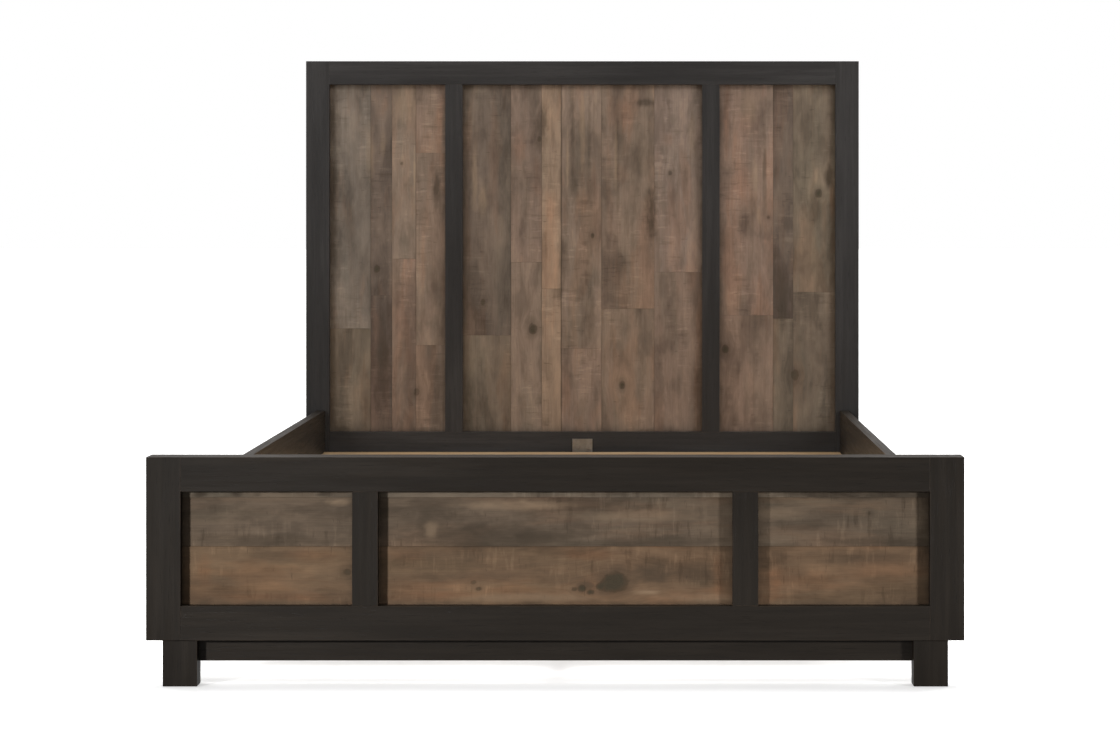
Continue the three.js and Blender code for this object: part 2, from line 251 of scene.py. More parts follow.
# Colours that the boards' marks take on.
NICK = seen(50, 41, 33)
# This colour paints stained spots, and also the painted shade beside the frame and two painted shadows.
STAIN_AND_SHADE = seen(61, 52, 42)
PALE = seen(150, 128, 104)
KNOT = seen(60, 54, 42)
SEAM_DIRT = seen(46, 37, 29)


def reclaimed_wood():
    """Old sawn boards. Each board's mesh says its tone, its grain's direction, its knots and stained spots,
    and painted shade beside the frame.
    """
    s = Shader("reclaimed_wood")
    tone = s.attribute("tone")["Color"]
    grain = s.attribute("grain")["Vector"]
    painted = s.attribute("marks")
    marks = s.node("SeparateColor")
    s.put(marks.inputs[0], painted["Color"])
    stain_and_shade, knot, pale = (marks.outputs[i] for i in range(3))
    rusty = painted["Alpha"]
    edge = s.attribute("edge")["Fac"]
    sawn = s.attribute("sawn", "OBJECT")["Fac"]

    cloud = s.noise(grain, (0.9, 6, 6), 3, 0.5, 0.3)
    blotch = s.noise(grain, (3.8, 11, 11), 4, 0.62, 0.25)
    patch = s.noise(grain, (10, 25, 25), 3, 0.58, 0.15)
    streaks = s.noise(grain, (1.5, 36, 36), 4, 0.56, 0.15)
    lines = s.noise(grain, (5, 190, 190), 4, 0.6, 0.1)
    fibre = s.noise(grain, (24, 760, 760), 3, 0.6)
    figure = s.noise(grain, (0.7, 8.0, 8.0), 1, 0.5, 0.3)
    rings = s.span(s.math("SINE", s.times(figure, 95.0)), -0.1, 1.0)
    grey = s.noise(grain, (1.6, 9, 9), 4, 0.6, 0.3)
    warm = s.noise(s.stretch(grain, 1.0, -1.0, 1.0), (2.4, 12, 12), 4, 0.6, 0.3)

    where = s.span(s.noise(grain, (3.2, 13, 13), 4, 0.62, 0.2), 0.44, 0.62)
    saw = s.noise(grain, (72, 11, 11), 4, 0.62, 0.1)
    cuts = s.times(s.span(saw, 0.55, 0.66), where)
    scars = s.times(s.span(saw, 0.45, 0.35), where)

    def shade(colour, amount, factors):
        return s.mix(amount, colour, s.mix(1.0, colour, factors, "MULTIPLY"))

    colour = tone
    for amount, factors in (
        (s.span(blotch, 0.36, 0.5, 0.66, 0.0), (0.6, 0.6, 0.6)),
        (s.span(blotch, 0.5, 0.66, 0.0, 0.66), (1.32, 1.3, 1.27)),
        (s.span(patch, 0.36, 0.5, 0.46, 0.0), (0.64, 0.64, 0.63)),
        (s.span(patch, 0.5, 0.66, 0.0, 0.42), (1.3, 1.29, 1.27)),
        (s.span(streaks, 0.34, 0.5, 0.26, 0.0), (0.66, 0.64, 0.62)),
        (s.span(streaks, 0.5, 0.66, 0.0, 0.18), (1.28, 1.26, 1.24)),
        (s.span(cloud, 0.5, 0.62, 0.0, 0.5), (0.68, 0.69, 0.7)),
        (s.span(warm, 0.5, 0.62, 0.0, 0.6), (1.12, 0.98, 0.9)),
        (s.span(grey, 0.5, 0.62, 0.0, 0.7), (0.92, 0.97, 0.97)),
        (s.times(rusty, s.span(patch, 0.35, 0.6, 0.5, 1.0)), (1.16, 0.95, 0.84)),
        (s.times(rings, 0.08), (0.62, 0.55, 0.48)),
        (s.span(lines, 0.48, 0.72, 0.0, 0.22), (0.62, 0.58, 0.55)),
        (s.span(fibre, 0.46, 0.66, 0.0, 0.28), (0.7, 0.68, 0.65)),
        (s.span(fibre, 0.46, 0.3, 0.0, 0.22), (1.32, 1.3, 1.26)),
        (s.times(cuts, s.times(sawn, 0.66)), (1.46, 1.48, 1.48)),
        (s.times(scars, s.times(sawn, 0.6)), (0.6, 0.58, 0.56)),
    ):
        colour = shade(colour, amount, factors)
    nicks = s.span(s.noise(s.stretch(grain, 1.0, 1.0, -1.0), (150, 24, 24), 3, 0.6), 0.67, 0.73)
    colour = s.mix(s.times(nicks, 0.3), colour, NICK)

    breakup = s.span(s.noise(grain, (13, 40, 40), 4, 0.62, 0.3), 0.32, 0.6, 0.65, 1.15)
    # Stained spots, painted shade beside the frame and painted shadows darken the boards here.
    colour = s.mix(s.times(stain_and_shade, breakup, clamp=True), colour, STAIN_AND_SHADE)
    colour = s.mix(s.times(pale, breakup, clamp=True), colour, PALE)
    gnarl = s.noise(grain, (55, 95, 95), 3, 0.6)
    knot = s.times(knot, s.span(gnarl, 0.35, 0.65, 0.7, 1.2))
    heart = s.times(s.span(knot, 0.02, 0.42), s.span(breakup, 0.65, 1.15, 0.5, 0.86))
    colour = s.mix(heart, colour, KNOT)
    wavy = s.plus(knot, s.times(patch, 0.22))
    growth = s.span(s.math("SINE", s.times(wavy, 46.0)), -0.3, 0.9)
    rim = s.times(s.span(knot, 0.06, 0.16), s.span(knot, 0.36, 0.18))
    colour = shade(colour, s.times(heart, s.times(growth, 0.25)), (0.58, 0.55, 0.5))
    colour = shade(colour, s.times(rim, 0.34), (0.5, 0.46, 0.42))
    colour = s.mix(s.times(edge, 0.75), colour, SEAM_DIRT)

    relief = s.plus(s.times(lines, -0.55), s.times(fibre, -0.3))
    relief = s.plus(relief, s.times(saw, 0.9))
    relief = s.minus(relief, s.times(nicks, 0.5))
    relief = s.minus(relief, s.times(rings, 0.2))
    rough = s.span(streaks, 0.25, 0.75, 0.62, 0.86)
    return s.finished(Base_Color=colour, Roughness=rough, Specular_IOR_Level=0.2,
                      Normal=s.bump(relief, 0.6 * MM, 0.8))


def pine(axis):
    """Planed pine with the darker late wood of its rings, and a few resin flecks."""
    s = Shader("pine_" + axis)
    grain = s.grain_of_object(axis)
    figure = s.noise(grain, (0.7, 14, 14), 2, 0.5, 0.5)
    rings = s.span(s.math("SINE", s.times(figure, 80.0)), 0.1, 1.0)
    tint = s.noise(grain, (1.2, 10, 10), 3, 0.5)
    fibre = s.noise(grain, (18, 480, 480), 4, 0.6)
    flecks = s.span(s.noise(grain, (40, 300, 300), 2, 0.5), 0.68, 0.74)
    colour = s.mix(s.span(tint, 0.3, 0.7), (0.6, 0.4, 0.21), (0.7, 0.51, 0.31))
    colour = s.mix(s.times(rings, 0.5), colour, (0.42, 0.23, 0.095))
    colour = s.mix(s.span(fibre, 0.4, 0.75, 0.0, 0.3), colour, (0.46, 0.3, 0.16))
    colour = s.mix(s.times(flecks, 0.5), colour, (0.2, 0.09, 0.035))
    colour = s.mix(s.times(s.worn_edge(2 * MM), 0.3), colour, (0.33, 0.21, 0.11))
    rough = s.span(fibre, 0.3, 0.7, 0.48, 0.66)
    relief = s.plus(s.times(fibre, 0.6), s.times(rings, 0.3))
    return s.finished(Base_Color=colour, Roughness=rough, Specular_IOR_Level=0.35,
                      Normal=s.bump(relief, 0.25 * MM, 0.6))


def hardboard():
    """Thin stained hardboard: short felted fibres and faint roller marks."""
    s = Shader("stained_hardboard")
    grain = s.grain_of_object("z")
    felt = s.noise(grain, (420, 420, 420), 4, 0.7)
    cloud = s.noise(grain, (7, 7, 7), 4, 0.6)
    roller = s.noise(grain, (2, 55, 55), 3, 0.6)
    colour = s.mix(s.span(cloud, 0.3, 0.7), (0.03, 0.022, 0.017), (0.052, 0.04, 0.031))
    colour = s.mix(s.span(roller, 0.45, 0.7, 0.0, 0.4), colour, (0.07, 0.054, 0.041))
    colour = s.mix(s.span(felt, 0.5, 0.8, 0.0, 0.6), colour, (0.092, 0.068, 0.049))
    rough = s.span(felt, 0.3, 0.7, 0.62, 0.8)
    return s.finished(Base_Color=colour, Roughness=rough, Specular_IOR_Level=0.25,
                      Normal=s.bump(felt, 0.2 * MM, 0.5))


def zinc():
    """Pressed steel with zinc plating: faint drawn lines, cloudy dulling and dark specks."""
    s = Shader("zinc_plated_steel")
    grain = s.grain_of_object("x")
    drawn = s.noise(grain, (14, 900, 900), 3, 0.6)
    cloud = s.noise(grain, (60, 60, 60), 4, 0.6)
    speck = s.span(s.noise(grain, (900, 900, 900), 2, 0.5), 0.66, 0.74)
    colour = s.mix(s.span(cloud, 0.3, 0.7), (0.36, 0.36, 0.37), (0.48, 0.485, 0.48))
    colour = s.mix(s.times(speck, 0.4), colour, (0.24, 0.235, 0.22))
    rough = s.span(s.plus(drawn, s.times(cloud, 0.6)), 0.5, 1.1, 0.26, 0.5)
    return s.finished(Base_Color=colour, Metallic=1.0, Roughness=rough, Normal=s.bump(drawn, 0.05 * MM, 0.5))


def black_plastic():
    """Moulded plastic with a fine spark texture, scuffed on its edges."""
    s = Shader("moulded_black_plastic")
    grain = s.grain_of_object("z")
    spark = s.noise(grain, (1400, 1400, 1400), 3, 0.6)
    cloud = s.noise(grain, (90, 90, 90), 4, 0.6)
    colour = s.mix(s.span(cloud, 0.3, 0.7), (0.012, 0.012, 0.013), (0.022, 0.022, 0.023))
    scuff = s.times(s.worn_edge(1 * MM), s.span(cloud, 0.4, 0.6))
    colour = s.mix(s.times(scuff, 0.5), colour, (0.09, 0.09, 0.09))
    rough = s.span(spark, 0.3, 0.7, 0.42, 0.6)
    return s.finished(Base_Color=colour, Roughness=rough, Normal=s.bump(spark, 0.08 * MM, 0.5))


WHITE = (1, 1, 1, 1)
# Light that the floor gives off itself, so that it shows as white.
FLOOR_GLOW = 0.5


def floor_paint():
    """Matt pale floor with the slightest mottling."""
    s = Shader("studio_floor")
    place = s.node("TexCoord").outputs["Object"]
    cloud = s.noise(place, (0.7, 0.7, 0.7), 3, 0.5)
    colour = s.mix(cloud, (0.93, 0.93, 0.93), (0.95, 0.95, 0.95))
    return s.finished(Base_Color=colour, Roughness=0.9, Specular_IOR_Level=0.1,
                      Emission_Color=WHITE, Emission_Strength=FLOOR_GLOW)


# ---- boards of the panels

# The boards' tones, in 0-255 screen values.
TONES = {
    "stone": (117, 106, 95),
    "ash": (109, 96, 83),
    "umber": (109, 95, 84),
    "sand": (125, 109, 95),
    "clay": (127, 107, 93),
    "walnut": (106, 93, 82),
    "rose": (125, 107, 94),
    "straw": (139, 119, 101),
    "tan": (128, 111, 97),
    "blush": (124, 106, 92),
    "dune": (129, 112, 100),
    "amber": (133, 112, 98),
    "plum": (101, 87, 77),
    "flax": (110, 97, 83),
    "drift": (106, 95, 82),
    "fawn": (99, 85, 71),
    "copper": (105, 84, 65),
}

# Columns of upright boards in each headboard panel, from left to right: width in mm, tones of the boards from
# the bottom, and heights of the joints between them in mm.
HEAD_COLUMNS = {
    "left": [
        (122, ["flax", "stone"], [310]),
        (64, ["plum", "umber"], [410]),
        (72, ["clay", "sand"], [520]),
        (90, ["tan", "blush", "clay"], [260, 839]),
    ],
    "center": [
        (144, ["ash", "walnut"], [290]),
        (93, ["tan", "rose"], [510]),
        (59, ["straw", "straw"], [430]),
        (121, ["rose", "tan"], [250]),
        (159, ["blush", "blush"], [370]),
        (144, ["rose", "dune"], [480]),
    ],
    "right": [
        (162, ["clay", "amber"], [350]),
        (60, ["ash", "plum"], [340]),
        (126, ["ash", "flax"], [420]),
    ],
}
# Level boards of the footboard, from the bottom: width in mm and tone.
FOOT_ROWS = [(118, "copper"), (100, "fawn"), (14, "drift")]

# How far each board of a row of neighbours stands back from the proudest one, in mm.
STEPS = [0.0, 0.9, 0.3, 1.2, 0.6]
# How dark the seam is on each side of a board. One seam of the middle headboard panel has opened.
SEAM_TINT = 0.12
OPEN_SEAM_TINT = 0.9
OPEN_SEAM = ("center", 3)

# Marks, in mm. Knots are x, z, radius and strength. Stained spots, pale spots and rusty spots are x, z, half
# length along the grain, half width across it, and strength. Two of the stained spots are painted shadows
# beside the frame.
HEAD_KNOTS = [
    (-130, 1190, 9, 0.35), (263, 1089, 8, 0.5), (712, 1027, 12, 0.5), (-545, 1118, 6, 0.3),
    (-398, 1120, 9, 0.45), (30, 900, 8, 0.45), (560, 955, 7, 0.35), (-620, 800, 12, 0.55),
    (-150, 620, 15, 0.6), (430, 560, 12, 0.55), (640, 480, 14, 0.55), (-500, 430, 12, 0.5),
    (120, 450, 12, 0.5), (-300, 700, 10, 0.5),
]
HEAD_STAINS_AND_SHADOWS = [
    (188, 1300, 12, 32, 0.62), (170, 1120, 55, 40, 0.4), (205, 970, 95, 20, 0.65), (20, 1180, 170, 5, 0.4),
    (-215, 1080, 150, 24, 0.3), (742, 1075, 38, 14, 0.75), (700, 980, 60, 20, 0.45),
    (-440, 1040, 55, 12, 0.6), (548, 1080, 130, 6, 0.45), (-125, 1240, 60, 22, 0.6),
    (-130, 1185, 35, 24, 0.45), (600, 700, 90, 18, 0.45), (-600, 520, 100, 20, 0.4),
    (20, 650, 100, 16, 0.4), (-60, 840, 60, 16, 0.4), (-355, 1130, 150, 12, 0.45),
    (-360, 1010, 60, 10, 0.5), (-700, 930, 80, 16, 0.3), (105, 1120, 150, 6, 0.4), (-30, 1150, 150, 6, 0.5),
    (-25, 1050, 40, 12, 0.45), (-640, 1100, 60, 12, 0.25), (500, 960, 60, 30, 0.3), (310, 1060, 60, 8, 0.3),
    # Painted shadow of the left post along the left panel's left edge.
    (-757, 1100, 330, 24, 0.62),
]
HEAD_PALES = [
    (-540, 1290, 55, 30, 0.3), (-325, 1070, 90, 9, 0.4), (0, 1220, 120, 8, 0.35), (500, 1290, 55, 30, 0.25),
    (-506, 1080, 90, 3, 0.6), (-45, 1120, 90, 4, 0.5), (704, 1083, 24, 6, 0.55), (-600, 1180, 40, 8, 0.25),
    (100, 1130, 100, 4, 0.4), (520, 1080, 50, 10, 0.35), (-640, 1150, 90, 14, 0.25),
    (330, 1200, 70, 12, 0.2), (-300, 1010, 50, 14, 0.35), (530, 960, 30, 8, 0.4),
]
HEAD_RUSTS = [
    (-192, 1170, 60, 20, 0.5), (-432, 1200, 120, 16, 0.22), (-95, 1250, 80, 20, 0.25),
    (-95, 990, 50, 22, 0.45), (120, 1265, 55, 45, 0.5), (115, 1085, 28, 20, 0.45), (260, 1190, 20, 16, 0.3),
    (433, 1250, 100, 9, 0.8), (495, 1235, 40, 30, 0.45), (480, 1060, 70, 25, 0.3), (752, 990, 50, 7, 0.7),
    (0, 1000, 40, 24, 0.35), (-755, 1050, 90, 6, 0.55), (330, 800, 90, 16, 0.4), (-560, 680, 80, 16, 0.4),
]
FOOT_KNOTS = [
    (121, 213, 22, 0.95), (92, 203, 9, 0.6), (54, 199, 8, 0.75), (71, 191, 6, 0.7), (-166, 211, 6, 0.4),
    (-424, 232, 9, 0.45), (640, 352, 4, 0.3), (-300, 350, 4, 0.3), (-156, 198, 5, 0.45), (38, 197, 5, 0.45),
]
FOOT_STAINS_AND_SHADOWS = [
    (-120, 306, 200, 28, 0.62), (-560, 296, 170, 13, 0.45), (200, 226, 46, 30, 0.62),
    (62, 204, 26, 12, 0.55), (160, 220, 24, 22, 0.45), (280, 226, 55, 24, 0.36), (104, 203, 16, 7, 0.6),
    (-270, 305, 90, 55, 0.2), (-150, 222, 130, 16, 0.3), (690, 294, 160, 10, 0.45),
    (250, 294, 160, 11, 0.45), (480, 235, 50, 22, 0.25), (-723, 391, 20, 7, 0.85), (-650, 391, 16, 7, 1.0),
    (-608, 391, 12, 6, 0.8), (-468, 391, 16, 7, 0.9), (600, 391, 190, 10, 0.9), (640, 389, 30, 6, 0.9),
    (-264, 330, 24, 38, 0.55), (-440, 330, 60, 22, 0.3), (20, 215, 60, 12, 0.35), (-60, 250, 120, 8, 0.2),
    (100, 391, 60, 5, 0.5), (250, 330, 80, 12, 0.15), (390, 225, 16, 40, 0.3), (-550, 262, 150, 14, 0.3),
    (610, 262, 150, 16, 0.35), (-220, 264, 130, 14, 0.25), (-250, 350, 110, 22, 0.25),
    (-190, 248, 150, 18, 0.35), (30, 350, 100, 20, 0.2), (-50, 330, 120, 30, 0.15), (280, 391, 75, 7, 0.5),
    # Painted shadow under the top rail along the top of the middle panel.
    (0, 398, 360, 4, 0.35),
]
FOOT_PALES = [
    (-80, 368, 110, 10, 0.4), (-440, 374, 25, 6, 0.4), (160, 345, 140, 12, 0.25), (450, 350, 60, 14, 0.2),
    (-60, 180, 150, 9, 0.2), (300, 180, 80, 9, 0.25), (-254, 319, 14, 19, 0.3), (190, 191, 30, 4, 0.4),
]
FOOT_RUSTS = [
    (-715, 235, 16, 34, 0.45), (-490, 266, 68, 12, 0.5), (-600, 180, 140, 8, 0.3), (-300, 264, 40, 14, 0.5),
    (65, 268, 60, 12, 0.55), (665, 232, 80, 32, 0.35), (447, 220, 14, 42, 0.5), (330, 225, 12, 45, 0.5),
    (250, 178, 90, 8, 0.3), (-240, 182, 90, 9, 0.3), (-20, 384, 60, 6, 0.3),
]

HEAD_SPOTS = (HEAD_KNOTS, HEAD_STAINS_AND_SHADOWS, HEAD_PALES, HEAD_RUSTS)
FOOT_SPOTS = (FOOT_KNOTS, FOOT_STAINS_AND_SHADOWS, FOOT_PALES, FOOT_RUSTS)

# Painted shade beside the frame, where its recess shades the boards: how dark it is painted, and how far from
# the frame it reaches.
PAINTED_FRAME_SHADE = 0.55
PAINTED_FRAME_SHADE_REACH = 9 * MM

# The front grid's spacing along and across the grain, and half the gap at a joint.
GRID_ALONG = 5.0 * MM
GRID_ACROSS = 3.5 * MM
SEAM = 0.12 * MM
# Reach of the easing of a board's sides and ends, and the grid lines over it in parts of that reach.
EASE_SIDE = 0.65 * MM
EASE_END = 0.6 * MM
EASE_STEPS = np.array([0, 0.12, 0.35, 0.65, 1.0, 1.6])
# How far a face lies behind its node's front: the mean, the plane's waves and chatter, a board's cup and the
# part that the frame leaves of it, a knot's hollow, and every second board of a column.
MEAN_DEPTH = 0.45 * MM
WAVE_DEPTH = 0.22 * MM
CHATTER_DEPTH = 0.10 * MM
CUP_DEPTH = 0.35 * MM
CUP_LEFT = 0.6
KNOT_DEPTH = 0.35 * MM
STEP_BACK = 0.3 * MM
# A knot is this much longer along the grain than across it.
KNOT_STRETCH = 1.28
# How strongly the boards show the saw's marks.
HEAD_SAWN = 0.75
FOOT_SAWN = 1.0
# Each board has a seed of its own.
HEAD_SEED = 100
FOOT_SEED = 900
SEED_STEP = 7
# Corners on each side of the noise's repeating grid.
NOISE_CORNERS = 97


def smooth_noise(u, v, seed):
    """Smooth noise from -1 to 1, with one random value on each corner of the unit grid."""
    size = NOISE_CORNERS
    corners = np.random.default_rng(seed).uniform(-1, 1, (size, size))
    iu = np.floor(u).astype(int)
    iv = np.floor(v).astype(int)
    fu = u - iu
    fv = v - iv
    fu = fu * fu * (3 - 2 * fu)
    fv = fv * fv * (3 - 2 * fv)
    rows = (iu % size, (iu + 1) % size)
    columns = (iv % size, (iv + 1) % size)
    near = corners[rows[0], columns[0]] * (1 - fv) + corners[rows[0], columns[1]] * fv
    far = corners[rows[1], columns[0]] * (1 - fv) + corners[rows[1], columns[1]] * fv
    return near * (1 - fu) + far * fu


def layered_noise(u, v, seed, layers=3):
    """Smooth noise with finer and weaker layers on it, from -1 to 1."""
    total = np.zeros_like(u)
    for i in range(layers):
        total += smooth_noise(u * 2**i, v * 2**i, seed + i) * 0.5**i
    return total / (2 - 0.5 ** (layers - 1))


def ramp(value, low, high):
    """0 up to low, 1 from high, and a smooth rise between."""
    t = np.clip((value - low) / (high - low), 0, 1)
    return t * t * (3 - 2 * t)


def stations(length, step, ease):
    """Points along one side of a board: close together over its eased edge, and even between."""
    fine = ease * EASE_STEPS
    count = max(2, round((length - 2 * fine[-1]) / step))
    even = np.linspace(fine[-1], length - fine[-1], count)
    return np.concatenate([fine[:-1], even, length - fine[:-1][::-1]])


def board_faces(rows, columns):
    """Quads of the front grid, the long sides and the back, and one face for each end."""
    front = np.arange(rows * columns).reshape(rows, columns)
    back = rows * columns + np.arange(rows * 2).reshape(rows, 2)
    faces = []
    for i in range(rows - 1):
        for j in range(columns - 1):
            faces.append((front[i, j], front[i, j + 1], front[i + 1, j + 1], front[i + 1, j]))
        faces.append((front[i, 0], front[i + 1, 0], back[i + 1, 0], back[i, 0]))
        faces.append((front[i, -1], back[i, 1], back[i + 1, 1], front[i + 1, -1]))
        faces.append((back[i, 0], back[i + 1, 0], back[i + 1, 1], back[i, 1]))
    faces.append((*front[0], back[0, 1], back[0, 0]))
    faces.append((*front[-1][::-1], back[-1, 0], back[-1, 1]))
    return [tuple(int(k) for k in f) for f in faces]


def put_attribute(mesh, name, kind, values):
    layer = mesh.attributes.new(name, kind, "POINT")
    key = {"FLOAT_COLOR": "color", "FLOAT_VECTOR": "vector", "FLOAT": "value"}[kind]
    layer.data.foreach_set(key, np.asarray(values, np.float32).ravel())


class Layout:
    """Where a board lies. s runs along its grain and t across it, both from its lower left corner."""

    def __init__(self, rect, upright):
        x0, x1, z0, z1 = rect
        self.upright = upright
        self.length, self.width = (z1 - z0, x1 - x0) if upright else (x1 - x0, z1 - z0)
        self.start, self.side = (z0, x0) if upright else (x0, z0)
        self.lines_s = stations(self.length, GRID_ALONG, EASE_END)
        self.lines_t = stations(self.width, GRID_ACROSS, min(EASE_SIDE, self.width / 4))
        self.s, self.t = np.meshgrid(self.lines_s, self.lines_t, indexing="ij")
        self.to_side = np.minimum(self.t, self.width - self.t)
        self.to_end = np.minimum(self.s, self.length - self.s)

    def place(self, x, z):
        """A place on the bed as distances along and across the board."""
        return (z - self.start, x - self.side) if self.upright else (x - self.start, z - self.side)

    def plane(self, along, across):
        """The x and z of points that are given along and across the grain."""
        return (across, along) if self.upright else (along, across)


def worn_surface(layout, wear, seed):
    """How far each point lies behind the board's face: eased edges, the plane's waves, and a cupped board."""
    s, t = layout.s, layout.t
    drop = EASE_SIDE * 0.5 * (1 - ramp(layout.to_side, 0, EASE_SIDE * wear)) ** 2
    drop += EASE_END * 0.6 * (1 - ramp(layout.to_end, 0, EASE_END)) ** 2
    wave = WAVE_DEPTH * layered_noise(s * 9, t * 30, seed + 3)
    chatter = CHATTER_DEPTH * smooth_noise(s * 70, t * 12, seed + 5)
    cup = CUP_DEPTH * ((t / layout.width - 0.5) * 2) ** 2 * (1 if seed % 2 else -1)
    return MEAN_DEPTH - (wave + chatter) - cup * CUP_LEFT + drop


def knot_marks(layout, knots, ragged, seed):
    """Knots: their dark hearts, the dark halos and hollows round them, and how far they push the grain aside.
    """
    lumpy = layered_noise(layout.s * 30, layout.t * 42, seed + 31)
    heart, halo, hollow, drift = (np.zeros_like(layout.s) for _ in range(4))
    for x, z, radius_mm, strength in knots:
        radius = radius_mm * MM
        along, across = layout.place(x * MM, z * MM)
        if not (-radius < along < layout.length + radius and -radius < across < layout.width + radius):
            continue
        away = np.hypot((layout.s - along) / KNOT_STRETCH, layout.t - across) / radius
        uneven = away * (1 + 0.16 * ragged + 0.24 * lumpy)
        heart = np.maximum(heart, strength * np.clip(1.05 - uneven, 0, 1))
        halo = np.maximum(halo, 0.45 * strength * (1 - ramp(uneven, 0.8, 2.2)))
        hollow += KNOT_DEPTH * np.exp(-((away / 0.9) ** 2)) * strength
        drift += (layout.t - across) * 0.75 * np.exp(-((away / 2.4) ** 2))
    return heart, halo, hollow, drift


def patch_marks(layout, patches, ragged, marks):
    """Long spots with ragged edges, over the marks that are there already."""
    for x, z, half_long, half_wide, strength in patches:
        along, across = layout.place(x * MM, z * MM)
        away = np.hypot((layout.s - along) / (half_long * MM), (layout.t - across) / (half_wide * MM))
        spot = strength * (1 - ramp(away * (1 + 0.25 * ragged) + 0.12 * ragged, 0.35, 1.35))
        marks = np.maximum(marks, spot)
    return marks


def painted_frame_shade(layout, opening, ragged):
    """Painted shade that darkens a board beside the frame, standing in for the shade of the frame's recess."""
    x, z = layout.plane(layout.s + layout.start, layout.t + layout.side)
    left, right, bottom, top = opening
    to_frame = np.minimum.reduce([x - left, right - x, z - bottom, top - z])
    return PAINTED_FRAME_SHADE * np.exp(-np.clip(to_frame, 0, None) / PAINTED_FRAME_SHADE_REACH) * (1 + 0.5 * ragged)


def board(name, node, rect, depth, upright, tone, seed, spots, opening, seams=(SEAM_TINT, SEAM_TINT)):
    """One sawn board in place of part of a panel node.

    rect and opening are x0, x1, z0, z1, and depth is the front's and the back's y. spots are the tables of
    knots, stained spots with two painted shadows, pale and rusty spots. seams says how dark the two long sides
    are.
    """
    layout = Layout(rect, upright)
    knots, stain_and_shade_spots, pales, rusts = spots
    wear = 1 + 0.55 * layered_noise(layout.s * 22, layout.t * 4, seed + 11)
    ragged = layered_noise(layout.s * 60, layout.t * 160, seed + 21)
    none = np.zeros_like(layout.s)
    heart, halo, hollow, drift = knot_marks(layout, knots, ragged, seed)
    stain_and_shade = patch_marks(layout, stain_and_shade_spots, ragged, halo)
    # Painted shade beside the frame goes into the same channel as the stained spots.
    stain_and_shade = np.maximum(stain_and_shade, painted_frame_shade(layout, opening, ragged))
    pale = patch_marks(layout, pales, ragged, none)
    rusty = patch_marks(layout, rusts, ragged, none)
    tint = np.where(layout.t < layout.width / 2, *seams)
    rim = np.maximum(tint * (1 - ramp(layout.to_side, 0.2 * MM, 1.5 * MM * wear)),
                     SEAM_TINT * (1 - ramp(layout.to_end, 0, 1.2 * MM)))
    sunk = np.clip(worn_surface(layout, wear, seed) + hollow, 0, None)

    rows, columns = layout.s.shape
    back_s = np.repeat(layout.lines_s, 2)
    back_t = np.tile([0.0, layout.width], rows)

    def with_back(values, fill=0.0):
        """Values of the front's points, and then one value for every point of the back."""
        return np.concatenate([values.ravel(), np.full(len(back_s), fill)])

    along = np.concatenate([layout.s.ravel(), back_s]) + layout.start
    across = np.concatenate([layout.t.ravel(), back_t]) + layout.side
    front, back = depth
    x, z = layout.plane(along, across)
    y = with_back(front + sunk, back)
    mesh = bpy.data.meshes.new(name)
    mesh.from_pydata(np.stack([x, y, z], 1).tolist(), [], board_faces(rows, columns))
    mesh.update()

    shift = np.random.default_rng(seed).uniform(-9, 9, 3)
    grain = np.stack([along + shift[0], across + shift[1] - with_back(drift), y + shift[2]], 1)
    marks = np.stack([with_back(stain_and_shade), with_back(heart), with_back(pale), with_back(rusty)], 1)
    put_attribute(mesh, "tone", "FLOAT_COLOR", np.tile([*seen(*TONES[tone]), 1.0], (len(x), 1)))
    put_attribute(mesh, "grain", "FLOAT_VECTOR", grain)
    put_attribute(mesh, "marks", "FLOAT_COLOR", marks)
    put_attribute(mesh, "edge", "FLOAT", with_back(rim, 1.0))
    for polygon in mesh.polygons:
        polygon.use_smooth = len(polygon.vertices) == 4
    mesh.materials.append(RECLAIMED)
    shape = bmesh.new()
    shape.from_mesh(mesh)
    piece = add_object(name, fill_mesh(mesh, shape))
    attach(piece, BED)
    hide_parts(node)
    return piece


def inside(low, high, tongue):
    """The part of a panel that shows in its opening, as x0, x1, z0, z1."""
    return low.x + tongue, high.x - tongue, low.z + tongue, high.z - tongue


def build_head_panels():
    seed = HEAD_SEED
    for place, columns in HEAD_COLUMNS.items():
        node = "headboard_panel_" + place
        low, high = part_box(node)
        tongue = (high.x - low.x - sum(column[0] for column in columns) * MM) / 2
        opening = inside(low, high, tongue)
        x = low.x + tongue
        for number, (width, tones, joints) in enumerate(columns, 1):
            left = low.x if number == 1 else x + SEAM
            x += width * MM
            right = high.x if number == len(columns) else x - SEAM
            front = low.y + STEPS[(number - 1) % len(STEPS)] * MM
            seams = tuple(OPEN_SEAM_TINT if (place, number + side) == OPEN_SEAM else SEAM_TINT
                          for side in (-1, 0))
            bottom = low.z
            tops = [low.z + tongue + joint * MM for joint in joints] + [high.z]
            for step, (tone, top) in enumerate(zip(tones, tops), 1):
                seed += SEED_STEP
                name = f"headboard_plank_{place}_{number}_{step}"
                rect = (left, right, bottom, top if top == high.z else top - SEAM)
                depth = (front + (step % 2) * STEP_BACK, high.y)
                piece = board(name, node, rect, depth, True, tone, seed, HEAD_SPOTS, opening, seams)
                piece["sawn"] = HEAD_SAWN
                bottom = top + SEAM


